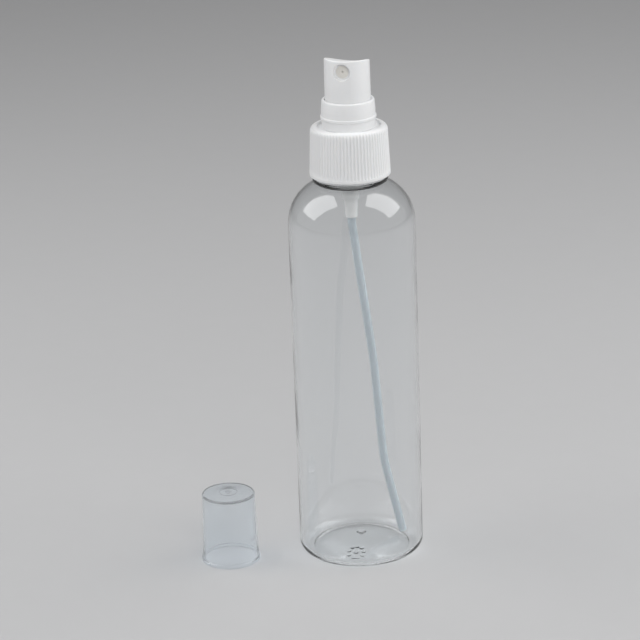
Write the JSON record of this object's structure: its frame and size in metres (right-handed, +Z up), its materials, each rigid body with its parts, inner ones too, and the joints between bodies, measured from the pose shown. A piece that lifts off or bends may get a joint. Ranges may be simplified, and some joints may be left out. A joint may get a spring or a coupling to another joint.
{
  "type": "spray bottle",
  "caption": "Clear round bottle with a white screw-on finger pump that sprays a fine mist, its dip tube, and a clear overcap standing beside it.",
  "frame": {"origin": "middle of the bottle's foot, on the surface it stands on", "axes": "+Z up along the bottle; the nozzle looks along -Y, turned 15.5 degrees towards -X; the overcap stands on the -X side"},
  "size_m": [0.0795, 0.0442, 0.1809],
  "materials": {
    "clear_pet": "glossy",
    "white_closure": "satin",
    "white_collar": "satin",
    "white_actuator": "satin",
    "warm_insert": "satin",
    "white_stem": "satin",
    "elastomer_seal": "matte",
    "natural_piston": "satin",
    "spring_steel": "bright drawn wire",
    "natural_rod": "satin",
    "natural_housing": "satin, translucent",
    "steel_ball": "polished",
    "soft_gasket": "matte",
    "milky_tube": "satin, translucent",
    "clear_cap": "glossy"
  },
  "bodies": {
    "bottle": {"bottle": "clear_pet", "neck_finish": "clear_pet"},
    "pump": {"housing": "natural_housing", "neck_gasket": "soft_gasket", "collar": "white_collar", "stem_seal": "elastomer_seal", "dip_tube": "milky_tube", "return_spring": "spring_steel"},
    "closure": {"closure": "white_closure"},
    "stem": {"stem": "white_stem", "valve_rod": "natural_rod", "piston_spring": "spring_steel"},
    "piston": {"piston": "natural_piston"},
    "actuator": {"actuator": "white_actuator", "nozzle_insert": "warm_insert"},
    "inlet_ball": {"inlet_ball": "steel_ball"},
    "overcap": {"overcap": "clear_cap"}
  },
  "joints": [
    {"name": "pump_lift", "type": "slide", "parent": "bottle", "child": "pump", "axis": [0, 0, 1], "range_m": [0, 0.00476]},
    {"name": "closure_turn", "type": "hinge", "parent": "pump", "child": "closure", "pos_m": [0, 0, 0.148], "axis": [0, 0, 1], "range_deg": [0, 540]},
    {"name": "actuator_press", "type": "slide", "parent": "pump", "child": "stem", "axis": [0, 0, -1], "range_m": [0, 0.0046], "stiffness_N_per_m": 900, "springref_m": -0.003, "deforming": ["return_spring"]},
    {"name": "actuator_turn", "type": "hinge", "parent": "stem", "child": "actuator", "pos_m": [0, 0, 0.17], "axis": [0, 0, 1], "continuous": true},
    {"name": "piston_slip", "type": "slide", "parent": "stem", "child": "piston", "axis": [0, 0, 1], "range_m": [0, 0.0004], "stiffness_N_per_m": 600, "springref_m": -0.002, "deforming": ["piston_spring"]},
    {"name": "inlet_ball_lift", "type": "slide", "parent": "pump", "child": "inlet_ball", "axis": [0, 0, 1], "range_m": [0, 0.0007]},
    {"name": "overcap_lift", "type": "slide", "parent": "bottle", "child": "overcap", "axis": [0, 0, 1], "range_m": [0, 0.12]}
  ],
  "couplings": [
    {"joint": "closure_turn", "follows": "pump_lift", "rad_per_m": 1979}
  ]
}
